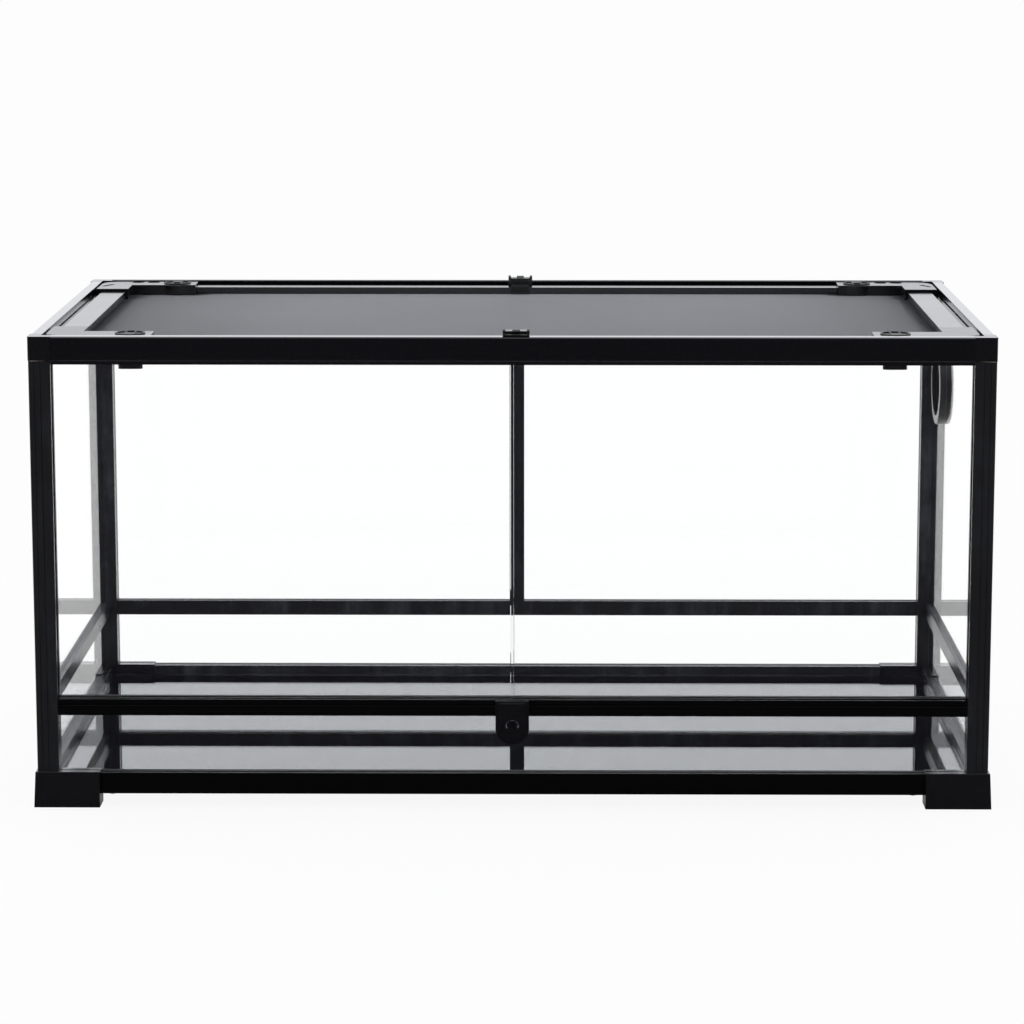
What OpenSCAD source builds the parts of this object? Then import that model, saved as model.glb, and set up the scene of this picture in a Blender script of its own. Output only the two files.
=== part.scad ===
// Knock-down glass terrarium: a black framed tank on four corner feet, with two
// sliding front doors, a base band of low panes, a screen lid that lifts off and a
// round port in the right side. Millimetres, +Z up, the front faces -Y, and the
// origin is under the middle of the feet.
//
// Two local frames keep the parts simple. In a corner frame, X and Y both run inward
// from the frame's outer corner. In a side frame, X runs along the rail and Y runs
// inward from the outer face, so a rail's section is drawn in (Y, Z).

/* [Frame] */
// Width of the frame, left to right
frame_w = 1220; // [900:10:1500]
// Depth of the frame, front to rear
frame_d = 610; // [450:10:750]
// Height of the frame's top edge above the surface it stands on
frame_h = 610; // [480:10:800]
// Width of a corner post, and depth of the rails between the posts
post_w = 28; // [27:0.5:32]
// Rounding of the outer edges of posts and rails
outer_round = 2.5; // [1:0.5:4]
// Width of the thin lines grooved into the outer faces
line_w = 1; // [0.6:0.2:1.6]
// Depth of the thin lines grooved into the outer faces
line_d = 0.6; // [0.3:0.1:1]
// Distance of a post's first grooved line from its outer edge
post_line_a = 7; // [5:0.5:9]
// Distance of a post's second grooved line from its outer edge
post_line_b = 15; // [12:0.5:18]

/* [Glass] */
// Thickness of every pane
glass_t = 5; // [4:0.5:6]
// Wall between the frame's outer face and a fixed pane
glass_inset = 6; // [5:0.5:7]
// Depth of the groove in a post that takes a pane's edge
glass_bite = 8; // [6:0.5:9]
// Play on each face of a pane in its groove
groove_play = 0.15; // [0.1:0.05:0.3]
// Play between a pane's edge and the bottom of its groove
edge_play = 0.3; // [0.2:0.1:0.6]

/* [Pegs] */
// Side of the square hollow inside a post
core_w = 13; // [11:0.5:13.5]
// Wall between a post's outer faces and its hollow
core_in = 5; // [4:0.5:6]
// Length of the pegs that join posts, rails and corners
peg_l = 30; // [20:1:40]
// Play on each side of a peg in its hollow
peg_play = 0.2; // [0.1:0.05:0.4]

/* [Base] */
// Height of a foot
foot_h = 46.5; // [45:0.5:55]
// Length of each arm of a foot, from the frame's outer corner
foot_arm = 80; // [60:1:110]
// How far a foot stands proud of the frame at its top
foot_proud_top = 2; // [1:0.5:3]
// How far a foot stands proud of the frame at the floor
foot_proud = 4.5; // [4.5:0.5:7]
// Wall round the hollow under a foot
foot_wall = 4; // [3:0.5:6]
// Depth of the hollow under a foot
foot_hollow = 13; // [6:1:14]
// Height of the bottom rails' underside above the floor
rail_z = 17; // [17:0.5:18.5]
// Height of a bottom rail
bottom_rail_h = 28; // [27:0.5:30]
// Width of the ledge that carries the tank's floor
ledge_w = 8; // [6:0.5:9]
// Height of that ledge above the bottom rails' underside
ledge_h = 6; // [4:0.5:8]
// Height of the small bevel round the top edge of a foot
foot_bevel_h = 1; // [0.5:0.25:2]
// Thickness of the black board under the floor pane
board_t = 4; // [3:0.5:5]
// Play round the edge of the floor pane and its board
floor_play = 0.5; // [0.3:0.1:1]
// Depth of the groove in a bottom rail for the base band's panes
base_groove = 7; // [5:0.5:8]
// Height of the hollow in a bottom rail
base_core_h = 14; // [10:0.5:15]
// Wall under that hollow
base_core_wall = 3; // [2:0.5:4]
// Diameter of the screws that hold the feet's pegs in the rails
screw_d = 3.6; // [3:0.1:4]
// Head diameter of those screws
screw_head_d = 7.5; // [6.5:0.5:8]
// Head height of those screws
screw_head_h = 2.2; // [1.6:0.2:2.8]
// Length of their shanks
screw_l = 13; // [8:0.5:14]
// Play round a screw in its holes
screw_play = 0.2; // [0.1:0.05:0.3]
// Play ahead of a screw's tip
screw_tip_play = 1; // [0.5:0.25:1]

/* [Middle band] */
// Height of the middle rails' underside above the floor
mid_z = 120.5; // [100:0.5:160]
// Height of a middle rail
mid_h = 21; // [20:0.5:24]
// Depth of the side and rear middle rails
mid_w = 16; // [14:0.5:18]
// How far those rails lie inside the frame's outer face
mid_inset = 1; // [0.5:0.25:2]
// Depth of the pane grooves in those rails
mid_groove = 5; // [4:0.5:5]
// Height of the seam between lower and upper posts above the middle rails' underside
seam_up = 13.5; // [12:0.5:14]
// Width of the upright bar in the middle of the rear
centre_bar_w = 21; // [18:0.5:26]
// Depth of the pane grooves in that bar
centre_bite = 7; // [5:0.5:7]
// Length of the connector inside the seam of a post
connector_l = 60; // [40:2:80]

/* [Doors] */
// Width of one door track
track_w = 6.5; // [6:0.25:7]
// Wall in front of the front track
track_wall = 5; // [4:0.5:5.5]
// Rib between the two tracks
track_rib = 3; // [2:0.5:3.5]
// Depth of the tracks in the sill
sill_track = 6; // [4:0.5:6]
// Height of the set back step along the top of the sill
sill_step_h = 8; // [6:0.5:9]
// How far that step is set back
sill_step_in = 1.5; // [0.5:0.25:2]
// Rounding of the sill's lower front edge
sill_round = 1; // [0.5:0.25:2]
// Depth of the tracks in the front top rail
top_track = 14; // [12:0.5:14]
// How far a door's top edge reaches into its track
door_top_bite = 11.5; // [9:0.5:11.5]
// Depth of the channel in a front post that takes a door's side edge
door_side_bite = 6; // [4:0.5:6]
// Overlap of the two doors at the middle
door_overlap = 5; // [3:0.5:20]
// Bevel ground along the edges of the doors' panes
door_arris = 0.8; // [0.5:0.1:1.2]

/* [Top] */
// Height of the side and rear top rails
top_h = 28.7; // [28:0.1:30]
// Height of the front top rail, which holds the door tracks
top_front_h = 35.5; // [35:0.5:37]
// Width of the lip round the top, outside the lid
lip_w = 15; // [14:0.5:16]
// Depth of the rebate that the lid lies in
rebate = 15.3; // [14.5:0.1:15.5]
// Depth of the pane grooves in the top rails
top_groove = 6; // [4:0.5:6]
// Height of a top corner block
corner_h = 30.5; // [30:0.5:32]
// How far a top corner block stands proud of the rails
corner_proud = 0.5; // [0.25:0.25:1]
// Width of the hollow in a top rail's lip
top_core_w = 9; // [7:0.5:9]
// Height of that hollow
top_core_h = 14; // [10:0.5:14]
// Wall above that hollow
top_core_wall = 5; // [4.5:0.5:5]

/* [Lid] */
// Gap between the lid and the lip round it
lid_gap = 1.5; // [1:0.25:2]
// Gap under the resting lid
lid_rest = 0.3; // [0.2:0.1:0.5]
// Height of the lid's front and rear bars
lid_bar_h = 9.5; // [9:0.5:11]
// Width of the lid's front and rear bars
lid_bar_w = 29; // [27:0.5:31]
// Height of the lid's end panels
lid_end_h = 11; // [10:0.5:12.5]
// Width of the lid's end panels
lid_end_w = 43.5; // [42:0.5:48]
// Corner rounding of the end panels
lid_end_r = 12; // [6:1:14]
// Width of the low strip along the outer edge of an end panel
lid_step_w = 10.5; // [8:0.5:12]
// Height of that strip
lid_step_h = 5; // [3:0.5:7]
// Wall above and below the hollow in a lid bar or end panel
lid_wall = 2; // [1.8:0.1:2.2]
// Width of that hollow
lid_core_w = 12; // [10:0.5:14]
// Height of a lid corner bracket
bracket_h = 14.2; // [13.6:0.2:14.8]
// Length of a lid corner bracket along the front or rear
bracket_l = 136.5; // [136:0.5:150]
// Width of its arm along the front or rear
bracket_w = 43; // [40:0.5:46]
// Length of a lid corner bracket along the side
bracket_side_l = 89; // [75:1:100]
// Width of its arm along the side
bracket_side_w = 46.5; // [44:0.5:50]
// Rounding of a lid corner bracket's outer corner
bracket_r = 28; // [16:1:30]
// Rounding of its outer top edge
bracket_round = 3; // [1:0.5:4]
// Length of the slot in the side arm of a rear bracket
bracket_slot_l = 28; // [15:1:32]
// Width of that slot
bracket_slot_w = 6; // [2:0.5:6]
// Depth of that slot
bracket_slot_d = 3; // [1:0.5:4]
// Slant of that slot, from the rear edge's direction
bracket_slot_turn = 117; // [105:1:130]
// Distance of that slot's middle from the lid's end
bracket_slot_in = 13; // [12:0.5:20]
// Distance of that slot's middle from the lid's rear edge
bracket_slot_back = 47; // [40:0.5:60]
// Thickness of the screen
screen_t = 1; // [0.8:0.1:1.5]
// How far the screen reaches under the lid's bars and panels
screen_lap = 2.5; // [1.5:0.25:3]
// Number of openings across the screen
screen_cells_x = 12; // [10:2:12]
// Number of openings from the front of the screen to its rear
screen_cells_y = 6; // [5:1:6]
// Width of the screen between its openings
screen_rib = 3; // [2:0.5:4]
// Width of the bar across the middle, under the screen
cross_bar_w = 20; // [16:1:26]
// Height of that bar
cross_bar_h = 8; // [6:0.5:9]
// Gap between that bar's ends and the top rails
cross_bar_gap = 3; // [2:0.5:5]
// Diameter of the cable plugs in the rear brackets
plug_d = 18; // [14:0.5:18]
// Spacing of the two cable plugs in a rear bracket
plug_pitch = 22; // [20:0.5:24]
// Distance of the outer cable plug from the lid's end
plug_in = 51.5; // [44:0.5:54]
// Wall between a cable plug and the lid's rear edge
plug_wall = 1; // [1:0.25:3]
// Depth of a cable plug's top below the bracket's
plug_recess = 1.5; // [0.5:0.25:3]
// Depth of the slit across a cable plug
plug_slit = 2; // [1:0.5:4]
// How much smaller a cable plug is than its hole
plug_play = 0.2; // [0.1:0.05:0.3]

/* [Lid locks] */
// Distance of a lock's axis from the lid's end
lock_in = 108.5; // [104:0.5:110]
// Distance of a lock's axis from the lid's front or rear edge
lock_edge = 20.5; // [20:0.25:21]
// Diameter of the boss that a bracket has round a lock
boss_d = 54; // [50:0.5:54]
// Diameter of the knob
knob_d = 38; // [34:0.5:38]
// Height of the knob
knob_h = 4; // [4:0.1:5.4]
// Depth of the well in the bracket that the knob lies in
knob_well = 2.8; // [2:0.2:3.6]
// Play round the knob in that well
knob_play = 0.5; // [0.3:0.1:0.6]
// Width of the grip across the knob
knob_grip_w = 14; // [13:0.5:18]
// Depth of the hollows on both sides of that grip
knob_grip_depth = 1.6; // [1:0.2:2.6]
// Width of the rim round those hollows
knob_rim = 2.5; // [1.5:0.25:4]
// Width of the finger pocket in the inner half of the grip
knob_pocket_w = 10; // [8:0.5:12]
// Depth of that pocket
knob_pocket_depth = 2.8; // [1.6:0.2:2.8]
// Diameter of the stem
stem_d = 10; // [8:0.5:10]
// Running play round the stem
stem_play = 0.3; // [0.2:0.05:0.4]
// Length of the tongue at the stem's foot
tongue_l = 31; // [26:0.5:31]
// Width of the tongue
tongue_w = 12; // [10:0.5:12]
// Height of the tongue
tongue_h = 9.5; // [6:0.5:10]

/* [Centre clips] */
// Offset of both clips from the middle, towards the right
clip_x = 5; // [-20:1:20]
// Width of a clip's base
clip_w = 34; // [30:0.5:40]
// Thickness of the ears on a clip's base
clip_ear = 3.5; // [3:0.25:4]
// Thickness of a clip's base over the lip
clip_plate = 2.5; // [2:0.25:3]
// Diameter of the tab's barrel
clip_barrel_d = 7.4; // [6:0.2:7.4]
// How far the ears' rounded tops reach past the barrel
clip_ear_over = 0.5; // [0.25:0.25:0.5]
// Play round the barrel between the ears
clip_play = 0.6; // [0.4:0.1:0.8]
// Distance of the hinge pin inside the frame's lip
clip_pin_in = 1; // [0.5:0.25:2]
// Length of a clip's base, inward from the hinge pin
clip_base_l = 10; // [9:0.5:12]
// How much of the lip's width a clip's base leaves bare
clip_bare = 0.5; // [0.5:0.5:4]
// Diameter of the hinge pin
clip_pin_d = 3.6; // [3:0.2:4]
// Width of the tab's barrel round the pin
clip_barrel_w = 10; // [8:0.5:20]
// Thickness of the tab
clip_tab_t = 2.6; // [2:0.1:2.8]
// Height of the ribbed grip of the tab
clip_grip_h = 9.5; // [7:0.5:10]
// Number of ribs on the grip
clip_ribs = 9; // [5:1:12]
// Plain margin above and below those ribs
clip_rib_margin = 1.5; // [1:0.25:2]

/* [Port] */
// Distance of the port's axis from the frame's rear face
port_in = 127; // [95:1:300]
// Distance of the port's axis below the frame's top edge
port_drop = 132; // [100:1:230]
// Outer diameter of the port's flange and nut
port_d = 112; // [108:0.5:120]
// Diameter of the port's sleeve, which passes through the pane
port_sleeve_d = 100; // [97:0.5:101]
// Bore of the port
port_bore_d = 88; // [80:0.5:90]
// Thickness of the outer flange
port_flange_t = 4; // [3:0.25:4.5]
// Thickness of the nut on the inside
port_nut_t = 9; // [7:0.5:12]
// Bevel on the nut's inner and outer edge
port_nut_bevel = 1.1; // [0.5:0.1:2]
// Play between the port's pieces
port_play = 0.2; // [0.15:0.05:0.3]
// Thickness of the cap's flange
cap_flange_t = 2.5; // [2:0.25:3]
// How far the cap's flange reaches past the bore
cap_over = 5; // [3:0.5:8]
// Reach of the cap's plug into the bore
cap_plug_l = 12; // [8:0.5:14]
// Wall of the cap's hollow plug
cap_wall = 4; // [2:0.5:6]
// Length of the grip across the cap
cap_grip_l = 58; // [40:1:70]
// Width of the grip across the cap
cap_grip_w = 7; // [5:0.5:10]
// Height of the grip across the cap
cap_grip_h = 2.6; // [1.5:0.2:3]

/* [Door lock] */
// Width of the lock's back plate
lock_w = 43; // [40:0.5:48]
// Width of the lock's raised cover
lock_cover_w = 34; // [30:0.5:36]
// Height of the lock below the sill's underside, down to its round end
lock_drop = 36.5; // [34:0.5:44]
// Thickness of the lock's back plate
lock_plate_t = 2; // [1.5:0.25:2.25]
// Thickness of the lock's raised cover
lock_cover_t = 2; // [1.5:0.25:2.25]
// Distance of the back plate's top below the sill's
lock_top_gap = 0.5; // [0.5:0.25:2]
// Distance of the cover's top below the back plate's
lock_cover_top = 3; // [2:0.5:5]
// Distance of the cover's round end above the back plate's
lock_cover_low = 4; // [3:0.5:6]
// Diameter of the key cylinder
key_d = 15; // [12:0.5:16]
// Running play round the key cylinder
key_play = 0.3; // [0.2:0.05:0.4]
// Depth of the key cylinder's centre below the sill's underside
key_drop = 12.1; // [11:0.1:14]
// How far the key cylinder stands proud of the cover
key_proud = 0.4; // [0.2:0.1:0.5]
// Width of the slot for the key
key_slot_w = 1.6; // [1:0.2:2.4]
// Height of the slot for the key
key_slot_h = 7; // [5:0.5:8]
// Depth of the slot for the key
key_slot_d = 2; // [1:0.5:3]
// Reach of the cam behind the key cylinder
cam_l = 12; // [9:0.5:12]
// Width of the cam
cam_w = 7; // [5:0.5:8]
// Thickness of the cam
cam_t = 1.5; // [1:0.25:1.75]
// Gap between the cam and the pane behind it
cam_back_gap = 1.5; // [1.2:0.1:1.6]
// Gap round the end of the cam as it turns
cam_gap = 2.5; // [1:0.5:2.5]
// Wall of the back plate in front of the cam's pocket
cam_wall = 0.5; // [0.25:0.25:1]

/* [Hidden] */
$fn = 64;

// Cutters reach this far past the faces they cut
over = 1;
// Play at the end of a middle rail's tenon
tenon_play = 1;
// How far a foot's inner face lies inside the post's
foot_inner = 2;
// Set back of the small bevel round the top edge of a foot
foot_bevel = 0.4;
black = [0.06, 0.06, 0.065];
dark = [0.12, 0.12, 0.13];
clear = [0.78, 0.86, 0.85, 0.3];
steel = [0.62, 0.63, 0.65];

half_w = frame_w / 2;
half_d = frame_d / 2;
// Fixed panes: groove, and how far their edges stay from the frame's outer corner
groove_in = glass_inset - groove_play;
groove_w = glass_t + 2 * groove_play;
pane_in = post_w - glass_bite + edge_play;
tenon_t = glass_t - 2 * groove_play;
tenon_l = glass_bite - tenon_play;
// Heights
ledge_z = rail_z + ledge_h;
base_groove_z = rail_z + bottom_rail_h - base_groove;
seam_z = mid_z + seam_up;
mid_top = mid_z + mid_h;
top_z = frame_h - top_h;
top_front_z = frame_h - top_front_h;
corner_z = frame_h - corner_h;
rebate_z = frame_h - rebate;
base_core_z = rail_z + base_core_wall;
top_core_z = frame_h - top_core_wall - top_core_h;
top_core_in = (lip_w - top_core_w) / 2;
floor_in = post_w - ledge_w + floor_play;
floor_z = ledge_z + board_t + edge_play;
// Doors: the front track holds the left door, the rear track the right one
track_rear_in = track_wall + track_w + track_rib;
tracks_w = track_rear_in + track_w - track_wall;
door_play = (track_w - glass_t) / 2;
door_z = mid_top - sill_track + edge_play;
door_h = top_front_z + door_top_bite - door_z;
door_outer = half_w - post_w + door_side_bite - edge_play;
door_w = door_outer + door_overlap / 2;
// Lid
lid_half_w = half_w - lip_w - lid_gap;
lid_half_d = half_d - lip_w - lid_gap;
lid_z = rebate_z + lid_rest;
bracket_top = lid_z + bracket_h;
knob_z = bracket_top + lid_rest - knob_well;
lid_core_h = lid_bar_h - 2 * lid_wall;
tongue_top = top_front_z - lid_rest;
// Clips
clip_y = half_d - lip_w - clip_pin_in;
clip_ear_d = clip_barrel_d + 2 * clip_ear_over;
clip_pin_z = frame_h + clip_ear_d / 2;
clip_in = clip_y - clip_base_l;
clip_out = half_d - clip_bare;
clip_top = frame_h + lid_rest + clip_plate;
tab_w = clip_w - 2 * clip_ear - 2 * lid_rest;
tab_in = lid_half_d - lid_bar_w - clip_tab_t - 2 * lid_rest;
// Port
port_y = half_d - port_in;
port_z = frame_h - port_drop;
pane_x = half_w - glass_inset;
port_out = pane_x + port_play + port_flange_t;
nut_x = pane_x - glass_t - port_play - port_nut_t;
cap_seat = port_out + port_play;
// Lock
lock_back = glass_inset - lid_rest;
lock_front = -lock_plate_t - lock_cover_t;
lock_low = mid_z - lock_drop;
lock_top = mid_top - lock_top_gap;
key_z = mid_z - key_drop;
cam_room = cam_l + cam_gap;

module at_corner(side_x, side_y) {
    translate([side_x * half_w, side_y * half_d, 0])
        mirror([side_x > 0 ? 1 : 0, 0, 0])
            mirror([0, side_y > 0 ? 1 : 0, 0])
                children();
}

module at_lid_corner(side_x, side_y) {
    translate([side_x * lid_half_w, side_y * lid_half_d, 0])
        mirror([side_x > 0 ? 1 : 0, 0, 0])
            mirror([0, side_y > 0 ? 1 : 0, 0])
                children();
}

module on_side(side) {
    if (side == "front")
        translate([0, -half_d, 0]) children();
    if (side == "rear")
        translate([0, half_d, 0]) mirror([0, 1, 0]) children();
    if (side == "left")
        translate([-half_w, 0, 0]) mirror([1, -1, 0]) children();
    if (side == "right")
        translate([half_w, 0, 0]) mirror([1, 0, 0]) mirror([1, -1, 0]) children();
}

// Swaps X and Y, so one half of a corner piece draws the other
module swapped() {
    mirror([1, -1, 0]) children();
}

function side_length(side) = side == "front" || side == "rear" ? frame_w : frame_d;

// A section drawn in (Y, Z) is carried along X, centred
module along_x(length) {
    translate([-length / 2, 0, 0])
        rotate([90, 0, 90])
            linear_extrude(length) children();
}

// What rounding takes off a square corner at the origin
module corner_waste(r) {
    difference() {
        translate([-over, -over]) square(r + over);
        translate([r, r]) circle(r);
    }
}

// A rectangle with all four corners rounded
module round_plate(w, d, r) {
    translate([r, 0]) square([w - 2 * r, d]);
    translate([0, r]) square([w, d - 2 * r]);
    for (x = [r, w - r], y = [r, d - r])
        translate([x, y]) circle(r);
}

// Grooved lines on both outer faces of a post
module post_lines() {
    for (at = [post_line_a, post_line_b]) {
        translate([at, -over]) square([line_w, over + line_d]);
        translate([-over, at]) square([over + line_d, line_w]);
    }
}

// Plan of a post, without its pane grooves
module post_plan() {
    difference() {
        square(post_w);
        corner_waste(outer_round);
        post_lines();
        translate([core_in, core_in]) square(core_w);
    }
}

// Groove for a pane that runs along X from this corner
module pane_groove_plan(length) {
    translate([post_w - glass_bite, groove_in]) square([length, groove_w]);
}

module peg_up(length) {
    translate([core_in + peg_play, core_in + peg_play, 0])
        cube([core_w - 2 * peg_play, core_w - 2 * peg_play, length]);
}

// Frame: base ---------------------------------------------------------------------

// Outer block of a foot: its outward faces lean out towards the floor
module foot_arm_block() {
    intersection() {
        rotate([90, 0, 90])
            translate([0, 0, -foot_proud])
                linear_extrude(foot_arm + foot_proud)
                    polygon([[-foot_proud, 0], [post_w + foot_inner, 0],
                        [post_w + foot_inner, ledge_z], [post_w - ledge_w, ledge_z],
                        [post_w - ledge_w, foot_h], [-foot_proud_top, foot_h],
                        [-foot_proud_top - foot_bevel, foot_h - foot_bevel_h]]);
        translate([0, post_w + foot_proud, 0])
            rotate([90, 0, 0])
                linear_extrude(post_w + 2 * foot_proud)
                    polygon([[-foot_proud, 0], [foot_arm, 0], [foot_arm, foot_h],
                        [-foot_proud_top, foot_h],
                        [-foot_proud_top - foot_bevel, foot_h - foot_bevel_h]]);
    }
}

module foot_hollow_block() {
    translate([foot_wall - foot_proud, foot_wall - foot_proud, -over])
        cube([foot_arm + foot_proud - 2 * foot_wall,
            post_w + foot_inner + foot_proud - 2 * foot_wall, foot_hollow + over]);
}

// Peg that enters a bottom rail, with its screw hole
module foot_peg() {
    difference() {
        translate([foot_arm - over, core_in + peg_play, base_core_z + peg_play])
            cube([peg_l + over, core_w - 2 * peg_play, base_core_h - 2 * peg_play]);
        translate([foot_arm + peg_l / 2, core_in + core_w / 2, rail_z])
            cylinder(h = screw_l + screw_tip_play, d = screw_d + 2 * screw_play);
    }
}

module foot(side_x, side_y) {
    color(black) at_corner(side_x, side_y) {
        difference() {
            union() {
                foot_arm_block();
                swapped() foot_arm_block();
            }
            foot_hollow_block();
            swapped() foot_hollow_block();
            translate([0, 0, base_groove_z]) linear_extrude(foot_h) {
                pane_groove_plan(foot_arm);
                swapped() pane_groove_plan(foot_arm);
            }
        }
        foot_peg();
        swapped() foot_peg();
        translate([0, 0, foot_h - over]) peg_up(peg_l + over);
    }
}

module foot_screw() {
    translate([foot_arm + peg_l / 2, core_in + core_w / 2, 0]) {
        translate([0, 0, rail_z - screw_head_h])
            cylinder(h = screw_head_h, d = screw_head_d);
        translate([0, 0, rail_z - screw_play])
            cylinder(h = screw_l + screw_play, d = screw_d);
    }
}

module foot_screws() {
    color(steel)
        for (side_x = [-1, 1], side_y = [-1, 1]) at_corner(side_x, side_y) {
            foot_screw();
            swapped() foot_screw();
        }
}

module bottom_rail(side) {
    length = side_length(side) - 2 * foot_arm;
    color(black) on_side(side) difference() {
        along_x(length) difference() {
            translate([0, rail_z]) square([post_w, bottom_rail_h]);
            translate([0, rail_z]) corner_waste(outer_round);
            translate([post_w - ledge_w, ledge_z])
                square([ledge_w + over, bottom_rail_h]);
            translate([groove_in, base_groove_z]) square([groove_w, bottom_rail_h]);
            translate([core_in, base_core_z]) square([core_w, base_core_h]);
        }
        for (end = [-1, 1])
            translate([end * (length - peg_l) / 2, core_in + core_w / 2, rail_z - over])
                cylinder(h = base_core_wall + 2 * over, d = screw_d + 2 * screw_play);
    }
}

module floor_board() {
    color(black)
        translate([floor_in - half_w, floor_in - half_d, ledge_z])
            cube([frame_w - 2 * floor_in, frame_d - 2 * floor_in, board_t]);
}

module floor_glass() {
    color(clear)
        translate([floor_in - half_w, floor_in - half_d, floor_z])
            cube([frame_w - 2 * floor_in, frame_d - 2 * floor_in, glass_t]);
}

// Frame: posts --------------------------------------------------------------------

module lower_posts() {
    color(black)
        for (side_x = [-1, 1], side_y = [-1, 1]) at_corner(side_x, side_y)
            translate([0, 0, foot_h]) linear_extrude(seam_z - foot_h) difference() {
                post_plan();
                pane_groove_plan(post_w);
                swapped() pane_groove_plan(post_w);
            }
}

// Square plugs inside the seam between lower and upper posts
module post_connectors() {
    color(dark)
        for (side_x = [-1, 1], side_y = [-1, 1]) at_corner(side_x, side_y)
            translate([0, 0, seam_z - connector_l / 2]) peg_up(connector_l);
}

// Channel that takes the side edges of both doors
module door_channel_plan() {
    translate([post_w - door_side_bite, track_wall])
        square([post_w, tracks_w]);
}

module post_front(side_x) {
    color(black) at_corner(side_x, -1)
        translate([0, 0, seam_z]) linear_extrude(corner_z - seam_z) difference() {
            post_plan();
            door_channel_plan();
            swapped() pane_groove_plan(post_w);
        }
}

module post_rear(side_x) {
    color(black) at_corner(side_x, 1)
        translate([0, 0, seam_z]) linear_extrude(corner_z - seam_z) difference() {
            post_plan();
            pane_groove_plan(post_w);
            swapped() pane_groove_plan(post_w);
        }
}

// Middle band ---------------------------------------------------------------------

// Tenons at both ends of a middle rail, which enter the posts' pane grooves
module rail_tenons(side, low, high) {
    for (end = [-1, 1])
        translate([end * (side_length(side) / 2 - post_w + tenon_l / 2), 0, 0])
            translate([-tenon_l / 2 - over / 2, glass_inset + groove_play, low])
                cube([tenon_l + over, tenon_t, high - low]);
}

module mid_rail(side) {
    color(black) on_side(side) {
        along_x(side_length(side) - 2 * post_w) difference() {
            translate([mid_inset, mid_z]) square([mid_w, mid_h]);
            translate([groove_in, mid_z - over]) square([groove_w, mid_groove + over]);
            translate([groove_in, mid_top - mid_groove])
                square([groove_w, mid_groove + over]);
        }
        rail_tenons(side, mid_z + mid_groove + edge_play, mid_top - mid_groove - edge_play);
    }
}

// Front middle rail: the lower tracks of both doors
module door_sill() {
    color(black) on_side("front") {
        along_x(frame_w - 2 * post_w) difference() {
            translate([0, mid_z]) square([post_w, mid_h]);
            translate([0, mid_z]) corner_waste(sill_round);
            translate([-over, mid_top - sill_step_h])
                square([over + sill_step_in, sill_step_h + over]);
            translate([sill_step_in - over, mid_top - sill_step_h / 2])
                square([over + line_d, line_w]);
            translate([groove_in, mid_z - over]) square([groove_w, mid_groove + over]);
            for (at = [track_wall, track_rear_in])
                translate([at, mid_top - sill_track]) square([track_w, sill_track + over]);
        }
        rail_tenons("front", mid_z + mid_groove + edge_play, seam_z - edge_play);
    }
}

module lower_glass(side) {
    length = side_length(side) - 2 * pane_in;
    low = base_groove_z + edge_play;
    color(clear) on_side(side)
        translate([-length / 2, glass_inset, low])
            cube([length, glass_t, mid_z + mid_groove - edge_play - low]);
}

// Upper panes ---------------------------------------------------------------------

pane_low = mid_top - mid_groove + edge_play;
pane_high = top_z + top_groove - edge_play;

module side_pane(side) {
    length = frame_d - 2 * pane_in;
    on_side(side)
        translate([-length / 2, glass_inset, pane_low])
            cube([length, glass_t, pane_high - pane_low]);
}

module side_glass_left() {
    color(clear) side_pane("left");
}

module side_glass_right() {
    color(clear) difference() {
        side_pane("right");
        translate([pane_x - glass_t - over, port_y, port_z])
            rotate([0, 90, 0])
                cylinder(h = glass_t + 2 * over, d = port_sleeve_d + 2 * port_play);
    }
}

module rear_centre_bar() {
    web = centre_bar_w - 2 * centre_bite;
    color(black) on_side("rear") {
        difference() {
            translate([-centre_bar_w / 2, mid_inset, mid_top])
                cube([centre_bar_w, mid_w, top_z - mid_top]);
            for (end = [-1, 1])
                translate([end * centre_bar_w / 2, glass_inset + glass_t / 2, 0])
                    translate([-centre_bite, -groove_w / 2, mid_top - over])
                        cube([2 * centre_bite, groove_w, top_z - mid_top + 2 * over]);
        }
        translate([-web / 2 + edge_play, glass_inset + groove_play,
            mid_top - mid_groove + edge_play])
            cube([web - 2 * edge_play, tenon_t, pane_high - pane_low]);
    }
}

module rear_glass(side_x) {
    web = centre_bar_w - 2 * centre_bite;
    length = half_w - pane_in - web / 2 - edge_play;
    color(clear) on_side("rear")
        translate([side_x * (half_w - pane_in - length / 2) - length / 2, glass_inset,
            pane_low])
            cube([length, glass_t, pane_high - pane_low]);
}

// Section of a pane with its four edges ground to a bevel
module ground_section(w, d) {
    a = door_arris;
    polygon([[a, 0], [w - a, 0], [w, a], [w, d - a], [w - a, d], [a, d], [0, d - a], [0, a]]);
}

// Doors: each pane slides along its own track
module door(side_x) {
    inward = side_x < 0 ? track_wall + door_play : track_rear_in + door_play;
    color(clear) on_side("front")
        translate([side_x < 0 ? -door_outer : door_outer - door_w, inward, door_z])
            intersection() {
                linear_extrude(door_h) ground_section(door_w, glass_t);
                rotate([90, 0, 90]) linear_extrude(door_w) ground_section(glass_t, door_h);
            }
}

// Top frame -----------------------------------------------------------------------

// Section of the lip and rebate that all top rails share, from height low up
module top_section(low) {
    difference() {
        translate([0, low]) square([post_w, frame_h - low]);
        translate([lip_w, rebate_z]) square([post_w, rebate + over]);
        translate([0, frame_h]) mirror([0, 1]) corner_waste(outer_round);
        translate([top_core_in, top_core_z]) square([top_core_w, top_core_h]);
    }
}

module top_rail(side) {
    color(black) on_side(side)
        along_x(side_length(side) - 2 * post_w) difference() {
            top_section(top_z);
            translate([groove_in, top_z - over]) square([groove_w, top_groove + over]);
        }
}

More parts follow.
